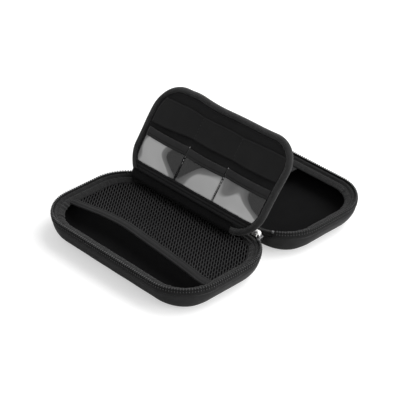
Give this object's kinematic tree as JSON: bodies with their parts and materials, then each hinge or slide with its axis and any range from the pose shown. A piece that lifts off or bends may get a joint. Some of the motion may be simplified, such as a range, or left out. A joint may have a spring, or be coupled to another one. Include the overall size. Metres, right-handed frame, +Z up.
{
  "type": "cable organizer pouch",
  "caption": "Hard-shell zip case opened flat like a book, with a mesh pocket in one half, a strap in the other and a padded divider page with elastic loops and clear pockets.",
  "frame": {"origin": "on the floor below the middle of the spine, which is the centre of the footprint", "axes": "+X along the spine towards the parked slider, +Y towards the rear half, +Z up"},
  "size_m": [0.162, 0.197, 0.0822],
  "materials": {
    "eva_shell": "fine-grained moulded foam with a cloth face",
    "lining": "brushed knit",
    "binding": "woven binding tape",
    "tape": "woven zip tape",
    "teeth": "moulded coil",
    "nickel": "bright nickel plate",
    "mesh": "open knit mesh",
    "elastic": "ribbed elastic",
    "clear_vinyl": "clear film",
    "page_cloth": "plain woven",
    "trim": "folded tape"
  },
  "bodies": {
    "front_case": {"front_shell": "eva_shell", "front_lining": "lining", "front_binding": "binding", "front_zip_tape": "tape", "front_zip_teeth": "teeth", "front_zip_stops": "nickel", "front_hinge_tape": "tape", "front_mesh_pocket": "mesh", "front_mesh_band": "elastic", "front_flap_root": "page_cloth"},
    "spine": {"spine_panel": "page_cloth", "slider_body": "nickel", "slider_bridge": "nickel"},
    "rear_case": {"rear_shell": "eva_shell", "rear_lining": "lining", "rear_binding": "binding", "rear_zip_tape": "tape", "rear_zip_teeth": "teeth", "rear_zip_stops": "nickel", "rear_hinge_tape": "tape", "rear_strap": "elastic"},
    "divider": {"divider_core": "page_cloth", "divider_binding": "binding", "divider_loops": "elastic", "divider_pocket_base": "page_cloth", "divider_flap": "page_cloth", "divider_piping": "trim", "window_left": "clear_vinyl", "window_middle": "clear_vinyl", "window_right": "clear_vinyl", "hem_left": "trim", "hem_middle": "trim", "hem_right": "trim", "seam_left": "trim", "seam_right": "trim"},
    "zip_pull": {"zip_pull": "nickel"}
  },
  "joints": [
    {"name": "spine_fold", "type": "hinge", "parent": "front_case", "child": "spine", "pos_m": [0, -0.0033, 0.0175], "axis": [1, 0, 0], "range_deg": [0, 90]},
    {"name": "lid_fold", "type": "hinge", "parent": "spine", "child": "rear_case", "pos_m": [0, 0.0033, 0.0175], "axis": [1, 0, 0], "range_deg": [0, 90]},
    {"name": "divider_turn", "type": "hinge", "parent": "front_case", "child": "divider", "pos_m": [-0.006, -0.0139, 0.0208], "axis": [1, 0, 0], "range_deg": [0, 127.5]},
    {"name": "pull_swing", "type": "hinge", "parent": "spine", "child": "zip_pull", "pos_m": [0.056, 0, 0.0138], "axis": [0, 1, 0], "range_deg": [-80, 80]}
  ],
  "couplings": [
    {"joint": "spine_fold", "follows": "lid_fold", "ratio": 1},
    {"joint": "divider_turn", "follows": "lid_fold", "ratio": 1.4167}
  ]
}
